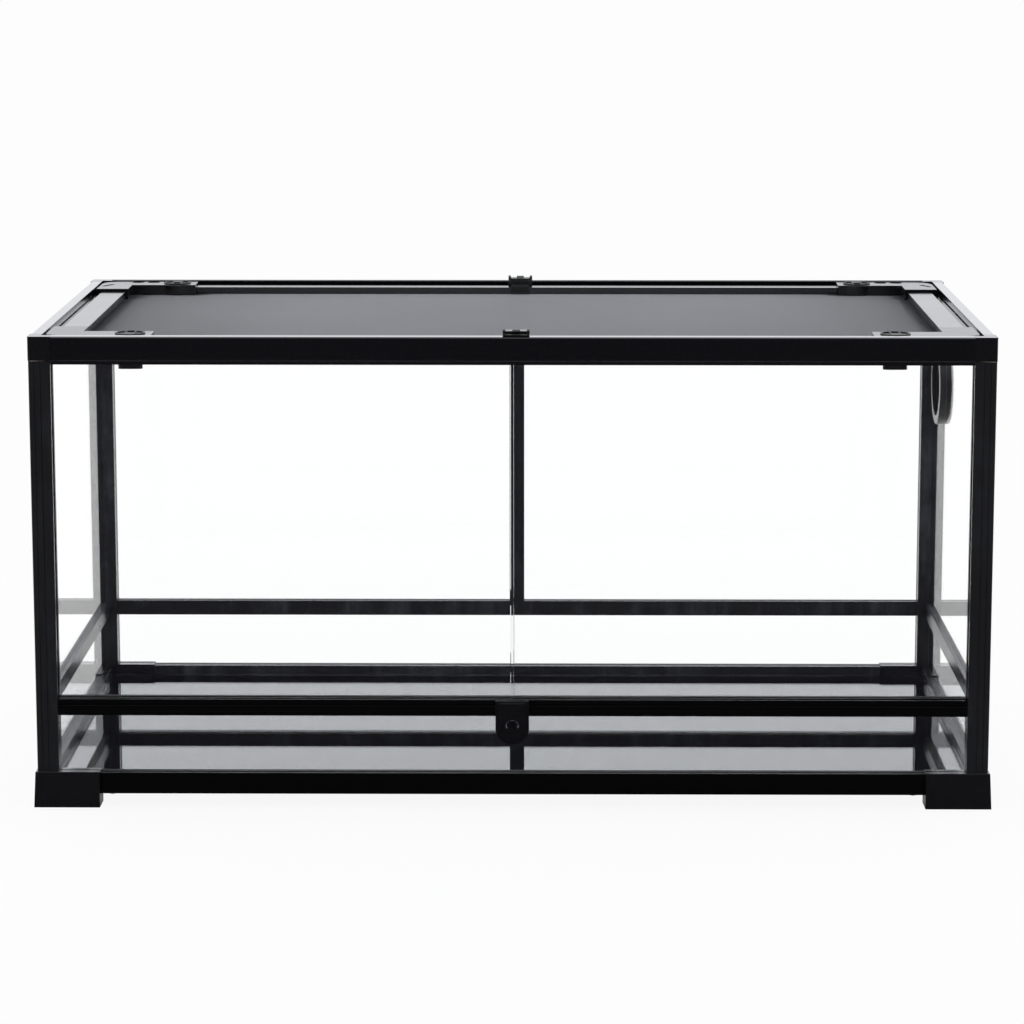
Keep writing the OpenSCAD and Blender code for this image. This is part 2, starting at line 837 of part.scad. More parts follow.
// Front top rail: the upper tracks of both doors
module top_rail_front() {
    color(black) on_side("front")
        along_x(frame_w - 2 * post_w) difference() {
            top_section(top_front_z);
            for (at = [track_wall, track_rear_in])
                translate([at, top_front_z - over]) square([track_w, top_track + over]);
            translate([-over, corner_z]) square([over + line_d, line_w]);
        }
}

// Peg that enters a top rail's hollow
module top_peg() {
    translate([post_w - over, top_core_in + peg_play, top_core_z + peg_play])
        cube([peg_l + over, top_core_w - 2 * peg_play, top_core_h - 2 * peg_play]);
}

module corner(side_x, side_y) {
    color(black) at_corner(side_x, side_y) {
        difference() {
            translate([0, 0, corner_z]) linear_extrude(corner_h) difference() {
                translate([-corner_proud, -corner_proud]) square(post_w + corner_proud);
                translate([-corner_proud, -corner_proud]) corner_waste(outer_round);
            }
            translate([lip_w, lip_w, rebate_z]) cube([post_w, post_w, rebate + over]);
            translate([0, 0, corner_z - over])
                linear_extrude(pane_high + edge_play - corner_z + over) {
                    swapped() pane_groove_plan(post_w);
                    if (side_y > 0) pane_groove_plan(post_w);
                }
            if (side_y < 0)
                translate([0, 0, corner_z - over])
                    linear_extrude(top_front_z + top_track - corner_z + over)
                        door_channel_plan();
        }
        top_peg();
        swapped() top_peg();
        translate([0, 0, corner_z - peg_l]) peg_up(peg_l + over);
    }
}

// Lid -----------------------------------------------------------------------------

module lid_bar(side) {
    length = 2 * (lid_half_w - bracket_l);
    color(black) on_side(side)
        translate([0, half_d - lid_half_d, 0]) along_x(length) difference() {
            translate([0, lid_z]) square([lid_bar_w, lid_bar_h]);
            translate([(lid_bar_w - lid_core_w) / 2, lid_z + lid_wall])
                square([lid_core_w, lid_core_h]);
        }
}

// End panel: a raised plate with round corners beside a low strip along the lid's end
module lid_end(side_x) {
    length = 2 * (lid_half_d - bracket_side_l);
    color(black) translate([side_x * lid_half_w, -length / 2, lid_z])
        mirror([side_x > 0 ? 1 : 0, 0, 0]) difference() {
            union() {
                linear_extrude(lid_step_h) square([lid_step_w + lid_end_r, length]);
                translate([lid_step_w, 0, 0]) linear_extrude(lid_end_h)
                    round_plate(lid_end_w - lid_step_w, length, lid_end_r);
            }
            translate([(lid_end_w - lid_core_w) / 2, -over, lid_wall])
                cube([lid_core_w, length + 2 * over, lid_core_h]);
        }
}

// Plan of a bracket: two arms, one round corner and a boss for the lock
module bracket_plan() {
    difference() {
        union() {
            square([bracket_l, bracket_w]);
            square([bracket_side_w, bracket_side_l]);
        }
        corner_waste(bracket_r);
    }
    intersection() {
        translate([lock_in, lock_edge]) circle(d = boss_d);
        square([bracket_l, boss_d]);
    }
}

// What the rounding takes off the top edge of an arm, along X from this corner
module arm_edge_waste(length) {
    translate([bracket_r, 0, bracket_top]) rotate([90, 0, 90]) linear_extrude(length)
        mirror([0, 1]) corner_waste(bracket_round);
}

// The same round the corner
module corner_edge_waste() {
    reach = bracket_r + over;
    translate([bracket_r, bracket_r, bracket_top]) intersection() {
        rotate_extrude()
            translate([bracket_r, 0]) mirror([1, 0]) mirror([0, 1]) corner_waste(bracket_round);
        translate([-reach, -reach, -reach]) cube([reach, reach, 2 * reach]);
    }
}

// Slot in the side arm of a rear bracket
module bracket_slot() {
    straight = bracket_slot_l - bracket_slot_w;
    translate([bracket_slot_in, bracket_slot_back, bracket_top - bracket_slot_d])
        rotate([0, 0, bracket_slot_turn]) linear_extrude(bracket_slot_d + over) {
            square([straight, bracket_slot_w], center = true);
            for (end = [-1, 1])
                translate([end * straight / 2, 0]) circle(d = bracket_slot_w);
        }
}

// Peg from a bracket into a lid bar or an end panel, along X from this corner
module lid_peg(from, across) {
    translate([from - over, across - lid_core_w / 2 + peg_play,
        lid_z + lid_wall + peg_play])
        cube([peg_l / 2 + over, lid_core_w - 2 * peg_play, lid_core_h - 2 * peg_play]);
}

module plug_places() {
    for (i = [0, 1])
        translate([plug_in + i * plug_pitch, plug_d / 2 + plug_wall, 0]) children();
}

module lid_brackets() {
    color(black)
        for (side_x = [-1, 1], side_y = [-1, 1]) at_lid_corner(side_x, side_y) {
            difference() {
                translate([0, 0, lid_z]) linear_extrude(bracket_h) bracket_plan();
                arm_edge_waste(bracket_l);
                swapped() arm_edge_waste(bracket_side_l);
                corner_edge_waste();
                translate([lock_in, lock_edge, 0]) {
                    translate([0, 0, lid_z - over])
                        cylinder(h = bracket_h + 2 * over, d = stem_d + 2 * stem_play);
                    translate([0, 0, bracket_top - knob_well])
                        cylinder(h = knob_well + over, d = knob_d + 2 * knob_play);
                }
                if (side_y > 0) {
                    bracket_slot();
                    plug_places() translate([0, 0, lid_z - over])
                        cylinder(h = bracket_h + 2 * over, d = plug_d);
                }
            }
            lid_peg(bracket_l, lid_bar_w / 2);
            swapped() lid_peg(bracket_side_l, lid_end_w / 2);
        }
}

// Soft plugs in the cable holes, slit across for a lead
module lid_cable_plugs() {
    color(dark)
        for (side_x = [-1, 1]) at_lid_corner(side_x, 1) plug_places()
            difference() {
                translate([0, 0, lid_z])
                    cylinder(h = bracket_h - plug_recess, d = plug_d - plug_play);
                translate([-plug_d / 3, -line_w / 2, bracket_top - plug_recess - plug_slit])
                    cube([2 * plug_d / 3, line_w, plug_slit + over]);
            }
}

screen_half_w = lid_half_w - lid_end_w + screen_lap;
screen_half_d = lid_half_d - lid_bar_w + screen_lap;

// Screen: a plain grid stands for its fine mesh
module lid_screen() {
    pitch_x = 2 * (screen_half_w - screen_lap) / screen_cells_x;
    pitch_y = 2 * (screen_half_d - screen_lap) / screen_cells_y;
    color(dark) translate([0, 0, lid_z - screen_t]) linear_extrude(screen_t) difference() {
        square([2 * screen_half_w, 2 * screen_half_d], center = true);
        for (i = [0 : screen_cells_x - 1], j = [0 : screen_cells_y - 1])
            translate([(i + 0.5) * pitch_x + screen_lap - screen_half_w,
                (j + 0.5) * pitch_y + screen_lap - screen_half_d])
                square([pitch_x - screen_rib, pitch_y - screen_rib], center = true);
    }
}

// Bar under the screen; its raised ends touch the lid's front and rear bars
module lid_cross_bar() {
    end = half_d - post_w - cross_bar_gap;
    low = lid_z - screen_t - cross_bar_h;
    color(black) {
        translate([-cross_bar_w / 2, -end, low])
            cube([cross_bar_w, 2 * end, cross_bar_h]);
        for (side_y = [-1, 1])
            translate([-cross_bar_w / 2, side_y * (end + screen_half_d + edge_play) / 2, low])
                translate([0, -(end - screen_half_d - edge_play) / 2, 0])
                    cube([cross_bar_w, end - screen_half_d - edge_play,
                        cross_bar_h + screen_t]);
    }
}

// Centre clips: a base with two ears on the lid's bar, and a hinged finger tab ------

// Sections are drawn for the rear clip in (Y, Z) and carried across the clip
module clip_across(width) {
    translate([clip_x, 0, 0]) along_x(width) children();
}

module clip_base() {
    difference() {
        union() {
            clip_across(clip_w) polygon([[clip_in, lid_z + lid_bar_h],
                [lid_half_d, lid_z + lid_bar_h], [lid_half_d, frame_h + lid_rest],
                [clip_out, frame_h + lid_rest], [clip_out, clip_top], [clip_in, clip_top]]);
            for (end = [-1, 1])
                translate([end * (clip_w - clip_ear) / 2, 0, 0]) clip_across(clip_ear) {
                    translate([clip_y, clip_pin_z]) circle(d = clip_ear_d);
                    translate([clip_y - clip_ear_d / 2, clip_top - over])
                        square([clip_ear_d, clip_pin_z - clip_top + over]);
                }
        }
        clip_across(clip_w - 2 * clip_ear)
            translate([clip_y, clip_pin_z]) circle(d = clip_barrel_d + 2 * clip_play);
        clip_across(clip_w + 2 * over)
            translate([clip_y, clip_pin_z]) circle(d = clip_pin_d + 2 * stem_play);
    }
}

module lid_clip_bases() {
    color(black) {
        clip_base();
        mirror([0, 1, 0]) clip_base();
    }
}

// Finger tab: barrel and pin, an arm over the base, and a ribbed grip inside the lid
module clip_tab() {
    arm_z = lid_z + lid_bar_h + lid_rest;
    drop = clip_in - lid_rest - clip_tab_t;
    clip_across(clip_barrel_w) translate([clip_y, clip_pin_z]) circle(d = clip_barrel_d);
    clip_across(clip_w) translate([clip_y, clip_pin_z]) circle(d = clip_pin_d);
    clip_across(tab_w) polygon([[clip_y, clip_top + lid_rest],
        [drop + clip_tab_t, clip_top + lid_rest], [drop + clip_tab_t, arm_z],
        [tab_in + clip_tab_t, arm_z], [tab_in + clip_tab_t, arm_z + clip_tab_t - clip_grip_h],
        [tab_in, arm_z + clip_tab_t - clip_grip_h], [tab_in, arm_z + clip_tab_t],
        [drop, arm_z + clip_tab_t], [drop, clip_top + lid_rest + clip_tab_t],
        [clip_y, clip_top + lid_rest + clip_tab_t]]);
    pitch = tab_w / clip_ribs;
    for (i = [0 : clip_ribs - 1])
        translate([clip_x - tab_w / 2 + (i + 0.25) * pitch, tab_in - line_d,
            arm_z + clip_tab_t - clip_grip_h + clip_rib_margin])
            cube([pitch / 2, line_d + over / 2, clip_grip_h - 2 * clip_rib_margin]);
}

module lid_tab_rear() {
    color(black) clip_tab();
}

module lid_tab_front() {
    color(black) mirror([0, 1, 0]) clip_tab();
}

// Keeps what is cut into a knob inside its rim
module knob_hollow_form() {
    intersection() {
        translate([0, 0, knob_z]) cylinder(h = 2 * knob_h, d = knob_d - 2 * knob_rim);
        children();
    }
}

// Lid locks: knob, stem and tongue in one turning piece
module lid_lock(side_x, side_y) {
    knob_top = knob_z + knob_h;
    color(dark) at_lid_corner(side_x, side_y) translate([lock_in, lock_edge, 0]) {
        difference() {
            translate([0, 0, knob_z]) cylinder(h = knob_h, d = knob_d);
            for (turn = [0, 180]) rotate([0, 0, turn]) knob_hollow_form()
                translate([knob_grip_w / 2, -knob_d / 2, knob_top - knob_grip_depth])
                    cube([knob_d, knob_d, knob_h]);
            knob_hollow_form()
                translate([-knob_pocket_w / 2, 0, knob_top - knob_pocket_depth])
                    cube([knob_pocket_w, knob_d / 2, knob_h]);
        }
        translate([0, 0, tongue_top - over])
            cylinder(h = knob_z - tongue_top + 2 * over, d = stem_d);
        translate([0, 0, tongue_top - tongue_h]) linear_extrude(tongue_h) {
            square([tongue_l - tongue_w, tongue_w], center = true);
            for (end = [-1, 1])
                translate([end * (tongue_l - tongue_w) / 2, 0]) circle(d = tongue_w);
        }
    }
}

// Port ----------------------------------------------------------------------------

// A turned shape: its section is drawn as (radius, X) and turned about the port's axis
module turned_about_port() {
    translate([0, port_y, port_z]) rotate([0, 90, 0]) rotate_extrude($fn = 96) children();
}

module port_flange() {
    color(black) turned_about_port() {
        translate([port_bore_d / 2, pane_x + port_play])
            square([(port_d - port_bore_d) / 2, port_flange_t]);
        translate([port_bore_d / 2, nut_x])
            square([(port_sleeve_d - port_bore_d) / 2, pane_x - nut_x + port_play]);
    }
}

module port_nut() {
    inner = port_sleeve_d / 2 + port_play;
    color(dark) turned_about_port() difference() {
        translate([inner, nut_x]) square([port_d / 2 - inner, port_nut_t]);
        for (r = [inner, port_d / 2])
            translate([r, nut_x]) circle(r = port_nut_bevel, $fn = 4);
    }
}

module port_cap() {
    flange_r = port_bore_d / 2 + cap_over;
    plug_r = port_bore_d / 2 - lid_rest;
    color(dark) {
        turned_about_port() {
            translate([0, cap_seat]) square([flange_r, cap_flange_t]);
            difference() {
                translate([0, cap_seat - cap_plug_l]) square([plug_r, cap_plug_l + over / 2]);
                translate([-over, cap_seat - cap_plug_l - over])
                    square([plug_r - cap_wall + over, cap_plug_l - cap_wall + over]);
            }
        }
        translate([cap_seat + cap_flange_t / 2, port_y - cap_grip_l / 2,
            port_z - cap_grip_w / 2])
            cube([cap_flange_t / 2 + cap_grip_h, cap_grip_l, cap_grip_w]);
    }
}

// Door lock -----------------------------------------------------------------------

// Outline of the lock seen from the front: straight top and sides, round lower end
module lock_outline(w, top, trim) {
    r = w / 2;
    low = lock_low + trim;
    intersection() {
        union() {
            translate([-r, low + r]) square([w, top - low - r]);
            translate([0, low + r]) circle(r);
        }
        translate([-r, low]) square([w, top - low]);
    }
}

// A shape drawn in (X, Z) becomes a slab from one depth to another, front face at -Y
module lock_slab(front, back) {
    translate([0, -half_d + back, 0]) rotate([90, 0, 0]) linear_extrude(back - front)
        children();
}

module lock_housing() {
    color(black) difference() {
        union() {
            lock_slab(-lock_plate_t, 0) lock_outline(lock_w, lock_top, 0);
            lock_slab(lock_front, -lock_plate_t)
                lock_outline(lock_cover_w, lock_top - lock_cover_top, lock_cover_low);
            lock_slab(-over, lock_back)
                lock_outline(lock_w, mid_z - edge_play, 0);
        }
        lock_slab(lock_front - over, lock_back)
            translate([0, key_z]) circle(d = key_d + 2 * key_play);
        lock_slab(cam_wall - lock_plate_t, lock_back + over)
            translate([0, key_z]) circle(r = cam_room);
    }
}

// Key cylinder with its slot, and the cam behind it
module lock_cylinder() {
    face = lock_front - key_proud;
    cam_front = glass_inset - cam_back_gap - cam_t;
    color(steel) {
        difference() {
            lock_slab(face, cam_front + over / 2) translate([0, key_z]) circle(d = key_d);
            lock_slab(face - over, face + key_slot_d)
                translate([0, key_z]) square([key_slot_w, key_slot_h], center = true);
        }
        lock_slab(cam_front, cam_front + cam_t) translate([-cam_w / 2, key_z - cam_l])
            square([cam_w, cam_l + cam_w / 2]);
    }
}

foot(-1, -1);  // foot_front_left
foot(1, -1);  // foot_front_right
foot(-1, 1);  // foot_rear_left
foot(1, 1);  // foot_rear_right
foot_screws();
bottom_rail("front");  // bottom_rail_front
bottom_rail("rear");  // bottom_rail_rear
bottom_rail("left");  // bottom_rail_left
bottom_rail("right");  // bottom_rail_right
floor_board();
floor_glass();
lower_posts();
lower_glass("front");  // lower_glass_front
lower_glass("rear");  // lower_glass_rear
lower_glass("left");  // lower_glass_left
lower_glass("right");  // lower_glass_right
post_connectors();
door_sill();
mid_rail("rear");  // mid_rail_rear
mid_rail("left");  // mid_rail_left
mid_rail("right");  // mid_rail_right
post_front(-1);  // post_front_left
post_front(1);  // post_front_right
post_rear(-1);  // post_rear_left
post_rear(1);  // post_rear_right
rear_centre_bar();
side_glass_left();
side_glass_right();
rear_glass(-1);  // rear_glass_left
rear_glass(1);  // rear_glass_right
top_rail_front();
top_rail("rear");  // top_rail_rear
top_rail("left");  // top_rail_left
top_rail("right");  // top_rail_right
corner(-1, -1);  // corner_front_left
corner(1, -1);  // corner_front_right
corner(-1, 1);  // corner_rear_left
corner(1, 1);  // corner_rear_right
door(-1);  // door_left
door(1);  // door_right
lock_housing();
lock_cylinder();
port_flange();
port_nut();
port_cap();
lid_bar("front");  // lid_bar_front
lid_bar("rear");  // lid_bar_rear
lid_end(-1);  // lid_end_left
lid_end(1);  // lid_end_right
lid_brackets();
lid_cable_plugs();
lid_screen();
lid_cross_bar();
lid_clip_bases();
lid_tab_front();
lid_tab_rear();
lid_lock(-1, -1);  // lid_lock_front_left
lid_lock(1, -1);  // lid_lock_front_right
lid_lock(-1, 1);  // lid_lock_rear_left
lid_lock(1, 1);  // lid_lock_rear_right
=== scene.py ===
"""Looks of the glass terrarium: black extruded frame, clear sheet glass, wire screen lid.

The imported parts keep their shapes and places. This script gives them their finishes, puts
the wire screen in the lid and a thin seam under each front corner block, and sets the
floor, the light and the camera. Lengths are in metres, as in the frame.
"""
import math

import bpy
import numpy as np
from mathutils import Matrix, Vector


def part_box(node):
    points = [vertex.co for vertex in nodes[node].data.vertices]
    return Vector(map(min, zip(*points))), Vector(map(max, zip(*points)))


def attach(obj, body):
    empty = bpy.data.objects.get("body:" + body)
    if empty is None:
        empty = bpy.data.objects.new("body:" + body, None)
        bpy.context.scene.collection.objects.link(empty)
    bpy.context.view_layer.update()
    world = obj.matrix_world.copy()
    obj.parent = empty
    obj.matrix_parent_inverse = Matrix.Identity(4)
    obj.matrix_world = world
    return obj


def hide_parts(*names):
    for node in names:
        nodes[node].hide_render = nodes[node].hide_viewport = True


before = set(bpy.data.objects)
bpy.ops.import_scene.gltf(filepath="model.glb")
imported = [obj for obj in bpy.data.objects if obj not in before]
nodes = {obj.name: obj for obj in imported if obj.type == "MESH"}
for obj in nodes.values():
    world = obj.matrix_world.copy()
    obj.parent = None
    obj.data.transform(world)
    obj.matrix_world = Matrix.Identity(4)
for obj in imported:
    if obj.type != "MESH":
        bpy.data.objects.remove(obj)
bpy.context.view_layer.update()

# Camera, fitted to the picture's frame corners ------------------------------------

CAMERA_AT = (0.048, -4.391, 1.168)
LOOK_DOWN = math.radians(9.04)
TURN_LEFT = math.radians(0.47)
LENS_MM = 115.4
SENSOR_MM = 36
SHIFT = (-0.0113, -0.1)
SIGHT_M = 60


def make_camera():
    """One still camera with a long lens, a little above the tank and square to its front."""
    data = bpy.data.cameras.new("camera")
    data.lens = LENS_MM
    data.sensor_width = SENSOR_MM
    data.shift_x, data.shift_y = SHIFT
    data.clip_end = SIGHT_M
    camera = bpy.data.objects.new("camera", data)
    camera.location = CAMERA_AT
    camera.rotation_euler = (math.pi / 2 - LOOK_DOWN, 0, TURN_LEFT)
    bpy.context.scene.collection.objects.link(camera)
    bpy.context.scene.camera = camera


# Shader helpers -------------------------------------------------------------------

EDGE_ROUND = 0.0008
EDGE_SAMPLES = 4


class Shader:
    """A node tree that is built from left to right, a line for each node."""

    def __init__(self, owner):
        owner.use_nodes = True
        self.tree = owner.node_tree
        self.tree.nodes.clear()

    def add(self, kind, inputs=None, **settings):
        """Adds a node. Inputs are sockets to link or values to set, by name or number."""
        node = self.tree.nodes.new("ShaderNode" + kind)
        for name, value in settings.items():
            setattr(node, name, value)
        for name, value in (inputs or {}).items():
            self.feed(node.inputs[name], value)
        return node

    def feed(self, socket, value):
        """Links the socket if the value is another node's socket, and sets it otherwise."""
        if isinstance(value, bpy.types.NodeSocket):
            self.tree.links.new(value, socket)
        else:
            socket.default_value = value

    def maths(self, operation, a, b=0.0, clamp=False):
        """One arithmetic step on one or two numbers."""
        node = self.add("Math", {0: a, 1: b}, operation=operation, use_clamp=clamp)
        return node.outputs[0]

    def ramp(self, value, low, high, to_low=0.0, to_high=1.0):
        """Eases from to_low to to_high while the value goes from low to high."""
        node = self.add(
            "MapRange",
            {"Value": value, 1: low, 2: high, 3: to_low, 4: to_high},
            interpolation_type="SMOOTHSTEP",
        )
        return node.outputs[0]

    def blend(self, share, a, b):
        """Mixes two colours."""
        node = self.add("Mix", {0: share, 6: a, 7: b}, data_type="RGBA")
        return node.outputs[2]

    def mix(self, share, a, b):
        """Mixes two shaders."""
        return self.add("MixShader", {0: share, 1: a, 2: b}).outputs[0]

    def object_place(self, stretch=(1, 1, 1), turn=(0, 0, 0)):
        """The piece's own coordinates, stretched for a directional pattern."""
        place = self.add("TexCoord").outputs["Object"]
        node = self.add("Mapping", {"Vector": place, "Scale": stretch, "Rotation": turn})
        return node.outputs[0]

    def noise(self, place, scale, detail=3.0, rough=0.5):
        """Cloudy noise from 0 to 1."""
        node = self.add(
            "TexNoise",
            {"Vector": place, "Scale": scale, "Detail": detail, "Roughness": rough},
        )
        return node.outputs["Fac"]

    def soft_edges(self):
        """Normals that turn round the piece's edges, as if each had a small radius."""
        return self.add("Bevel", {"Radius": EDGE_ROUND}, samples=EDGE_SAMPLES).outputs[0]

    def relief(self, height, strength, depth, normal=None):
        """Normals tilted by a fine relief, on top of the given ones."""
        inputs = {"Strength": strength, "Distance": depth, "Height": height}
        if normal:
            inputs["Normal"] = normal
        return self.add("Bump", inputs).outputs[0]

    def end(self, surface, kind="OutputMaterial"):
        """Ends the tree in its output."""
        self.add(kind, {"Surface": surface})


def new_shader(name):
    """A new material and the shader tree in it."""
    material = bpy.data.materials.new(name)
    return material, Shader(material)


# Finishes -------------------------------------------------------------------------

# The die lines' scale on each axis: long along the run of a bar, and fine across it.
ALONG = {"x": (3, 900, 900), "y": (900, 3, 900), "z": (900, 900, 3)}
IOR = 1.5
FILM_OF_DUST = (0.055, 0.06, 0.068, 1)
DIE_LINES = {"strength": 0.04, "depth": 0.0002}
SPARK_DEPTH = 0.0001


def extruded_black(
    name, run, shade=0.003, dust=0.0, coat=1.0, satin=0.13, gloss=0.5, dish=None
):
    """Glossy black extrusion: die lines along its run, soft edges and a thin film of dust.

    dish is (inner, slope, bend) for a bar along x whose top rises slightly towards the
    outside: its height is slope d + bend d^2 / 2, where d = |y| - inner.
    """
    material, s = new_shader(name)
    place = s.object_place()
    lines = s.noise(s.object_place(ALONG[run]), 1.0, 2.0)
    clouds = s.noise(place, 9.0, 5.0, 0.62)
    wipes = s.noise(s.object_place((30, 30, 5), (0.5, 0.2, 0.3)), 1.0, 6.0, 0.7)
    film = s.ramp(s.maths("MULTIPLY", clouds, wipes), 0.2, 0.42)
    film = s.maths("MULTIPLY", film, dust)
    colour = s.blend(film, (shade, shade, shade * 1.12, 1), FILM_OF_DUST)
    rough = s.maths("ADD", s.maths("MULTIPLY", clouds, 0.1), satin)
    soft = s.soft_edges()
    if dish:
        inner, slope, bend = dish
        across = s.maths("ABSOLUTE", s.add("SeparateXYZ", {0: place}).outputs["Y"])
        across = s.maths("SUBTRACT", across, inner)
        rise = s.maths("ADD", s.maths("MULTIPLY", across, bend / 2), slope)
        rise = s.maths("MULTIPLY", rise, across)
        soft = s.relief(rise, 1.0, 1.0, soft)
    lined = s.relief(lines, normal=soft, **DIE_LINES)
    surface = s.add(
        "BsdfPrincipled",
        {
            "Base Color": colour,
            "Roughness": rough,
            "IOR": IOR,
            "Specular IOR Level": gloss,
            "Normal": lined,
            "Coat Weight": coat,
            "Coat Roughness": 0.06,
            "Coat Normal": soft,
        },
    )
    s.end(surface.outputs[0])
    return material


def moulded_black(name, shade=0.003, rough=0.24, grain=0.25, coat=0.4):
    """Moulded black plastic: a fine spark finish under a slight gloss, with soft edges."""
    material, s = new_shader(name)
    place = s.object_place()
    spark = s.noise(place, 1800.0, 2.0)
    clouds = s.noise(place, 14.0, 4.0, 0.6)
    colour = s.blend(clouds, (shade, shade, shade * 1.1, 1), (shade * 1.7,) * 3 + (1,))
    gloss = s.maths("ADD", s.maths("MULTIPLY", clouds, 0.12), rough - 0.06)
    soft = s.soft_edges()
    sparked = s.relief(spark, grain, SPARK_DEPTH, soft)
    surface = s.add(
        "BsdfPrincipled",
        {
            "Base Color": colour,
            "Roughness": gloss,
            "IOR": IOR,
            "Normal": sparked,
            "Coat Weight": coat,
            "Coat Roughness": 0.12,
            "Coat Normal": soft,
        },
    )
    s.end(surface.outputs[0])
    return material


def dull_black(name):
    """Black board that gives nothing back but a little scattered light."""
    material, s = new_shader(name)
    specks = s.noise(s.object_place(), 300.0, 2.0)
    colour = s.blend(specks, (0.002, 0.002, 0.003, 1), (0.006, 0.006, 0.007, 1))
    s.end(s.add("BsdfDiffuse", {"Color": colour}).outputs[0])
    return material


WHITE = (1, 1, 1, 1)
PANE_TINT = (0.996, 0.999, 0.998, 1)
FLOOR_TINT = (0.96, 0.98, 0.99, 1)
FLOOR_SHEEN = (0.9, 0.95, 1.0, 1)


def sheet_glass(name, tint, sheen=WHITE):
    """Clear float glass that lets the lamps through, with a faint tint in its body."""
    material, s = new_shader(name)
    glass = s.add(
        "BsdfPrincipled",
        {
            "Base Color": tint,
            "Roughness": 0.0,
            "IOR": IOR,
            "Transmission Weight": 1.0,
            "Specular Tint": sheen,
        },
    )
    clear = s.add("BsdfTransparent", {"Color": tint})
    lamp_ray = s.add("LightPath").outputs["Is Shadow Ray"]
    s.end(s.mix(lamp_ray, glass.outputs[0], clear.outputs[0]))
    return material


def coated_wire(name):
    """Dark grey metal wire."""
    material, s = new_shader(name)
    place = s.object_place()
    patches = s.noise(place, 3.0, 3.0)
    colour = s.blend(patches, (0.27, 0.275, 0.29, 1), (0.33, 0.335, 0.35, 1))
    gloss = s.maths("ADD", s.maths("MULTIPLY", s.noise(place, 600.0), 0.15), 0.35)
    surface = s.add(
        "BsdfPrincipled", {"Base Color": colour, "Roughness": gloss, "Metallic": 1.0}
    )
    s.end(surface.outputs[0])
    return material


def soft_rubber(name):
    """Matt black rubber with a faint bloom."""
    material, s = new_shader(name)
    place = s.object_place()
    bloom = s.noise(place, 60.0, 4.0, 0.6)
    colour = s.blend(bloom, (0.012, 0.012, 0.013, 1), (0.03, 0.03, 0.032, 1))
    grained = s.relief(s.noise(place, 2500.0), 0.3, SPARK_DEPTH)
    surface = s.add(
        "BsdfPrincipled",
        {"Base Color": colour, "Roughness": 0.7, "IOR": IOR, "Normal": grained},
    )
    s.end(surface.outputs[0])
    return material


def worked_metal(name, colour, rough):
    """Plated metal with fine turning marks."""
    material, s = new_shader(name)
    place = s.object_place((400, 400, 4000))
    marks = s.noise(place, 1.0, 2.0)
    gloss = s.maths("ADD", s.maths("MULTIPLY", marks, 0.2), rough)
    soft = s.soft_edges()
    turned = s.relief(marks, 0.1, SPARK_DEPTH, soft)
    surface = s.add(
        "BsdfPrincipled",
        {"Base Color": colour, "Metallic": 1.0, "Roughness": gloss, "Normal": turned},
    )
    s.end(surface.outputs[0])
    return material


# Which parts take which finish ----------------------------------------------------

RAILS_ALONG_X = ["top_rail_front"]
TRACKS_ALONG_X = "bottom_rail_front door_sill".split()
RAILS_ALONG_Y = "top_rail_left top_rail_right".split()
POSTS = "lower_posts post_front_left post_front_right".split()
INNER_ALONG_X = "bottom_rail_rear mid_rail_rear".split()
INNER_ALONG_Y = "mid_rail_left mid_rail_right bottom_rail_left bottom_rail_right".split()
INNER_POSTS = "post_rear_left post_rear_right rear_centre_bar".split()
LID_ALONG_X = "lid_bar_front lid_bar_rear".split()
LID_ALONG_Y = "lid_end_left lid_end_right lid_cross_bar".split()
FIXED_PANES = [n for n in nodes if "glass" in n and n != "floor_glass"]
DOORS = "door_left door_right".split()
CORNERS = [n for n in nodes if n.startswith(("corner_", "foot_front", "foot_rear"))]
LID_MOULDINGS = [n for n in nodes if n.startswith(("lid_brackets", "lid_clip", "lid_tab"))]
LID_KNOBS = [n for n in nodes if n.startswith("lid_lock")]
PORT = [n for n in nodes if n.startswith("port_")]

HANDLED = {"shade": 0.015, "dust": 0.15, "coat": 0.0, "satin": 0.2, "gloss": 0.3}
BEHIND_GLASS = {"shade": 0.019, "dust": 0.8, "coat": 0.0, "satin": 0.2, "gloss": 0.25}
DULL = {"coat": 0.0, "satin": 0.3, "gloss": 0.06}
DISH_SLOPE = 0.03
DISH_BEND = 9.0
LOCK_GREY = (0.08, 0.08, 0.085, 1)
SCREW_GREY = (0.5, 0.5, 0.51, 1)


def dress(names, material):
    """Gives each named part this finish on all its faces."""
    for name in names:
        slots = nodes[name].data.materials
        for i in range(len(slots)):
            slots[i] = material


